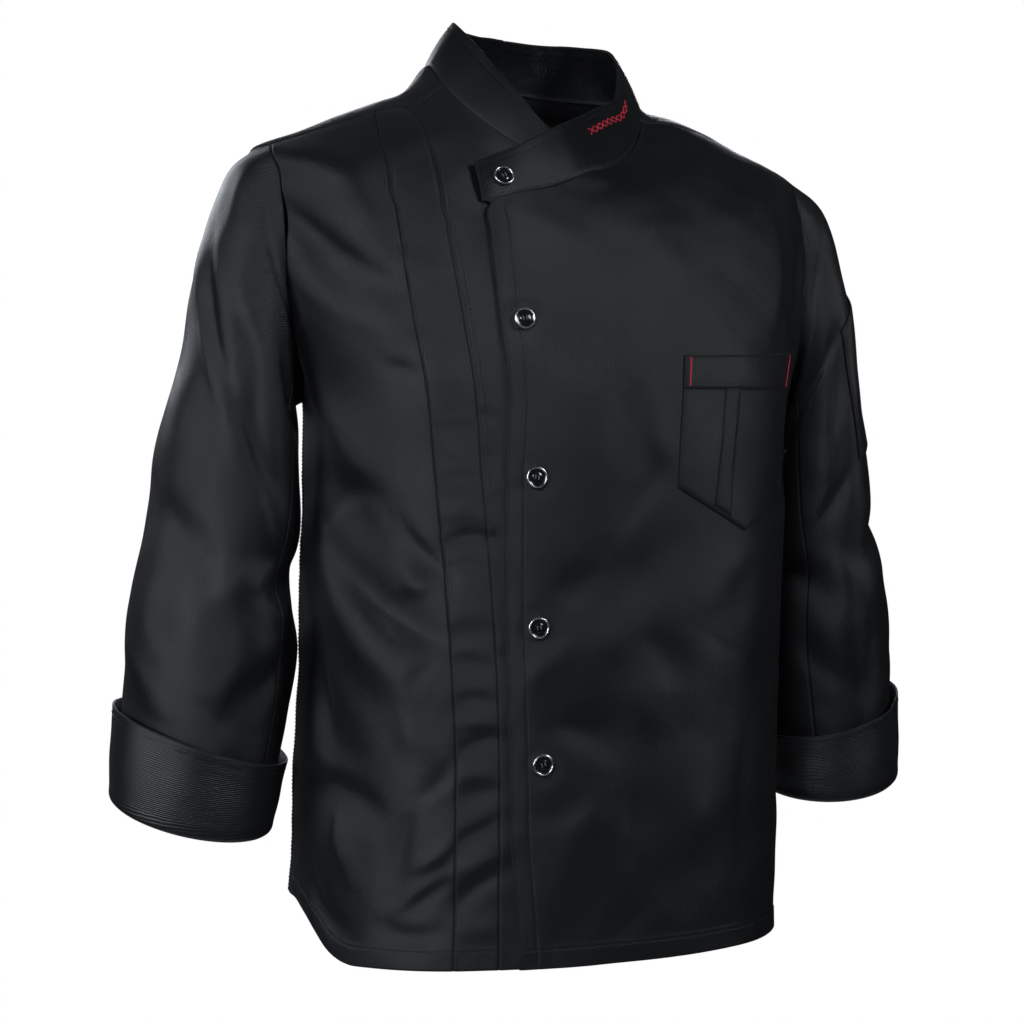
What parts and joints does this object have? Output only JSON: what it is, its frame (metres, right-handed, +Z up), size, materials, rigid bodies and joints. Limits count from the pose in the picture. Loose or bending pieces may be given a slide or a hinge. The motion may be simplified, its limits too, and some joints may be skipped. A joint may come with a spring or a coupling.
{
  "type": "chef jacket",
  "caption": "Black chef's jacket in its worn form: stand collar with a buttoned tab, side-front button closing, chest pocket, long sleeves with turned-back cuffs.",
  "frame": {"origin": "middle of the neck, level with the side neck points, where the jacket hangs on the wearer's shoulders", "axes": "+Z up, -Y the wearer's front, +X the wearer's left"},
  "size_m": [0.7144, 0.2789, 0.7527],
  "materials": {
    "satin_twill": "black satin twill with a soft sheen",
    "label_cloth": "plain white woven tape",
    "button_plastic": "glossy black centre in a silvered rim"
  },
  "bodies": {
    "root": {"back": "satin_twill", "left_front": "satin_twill", "right_front_side": "satin_twill", "right_front_strip": "satin_twill", "right_front_inner": "satin_twill", "collar_left": "satin_twill", "collar_right": "satin_twill", "sleeve_left_top": "satin_twill", "sleeve_left_under": "satin_twill", "sleeve_right_top": "satin_twill", "sleeve_right_under": "satin_twill", "cuff_left": "satin_twill", "cuff_right": "satin_twill", "chest_pocket": "satin_twill", "chest_pocket_band": "satin_twill", "chest_pocket_pleat": "satin_twill", "sleeve_pocket": "satin_twill", "neck_label": "label_cloth", "button_collar": "button_plastic", "button_1": "button_plastic", "button_2": "button_plastic", "button_3": "button_plastic", "button_4": "button_plastic"}
  },
  "joints": []
}
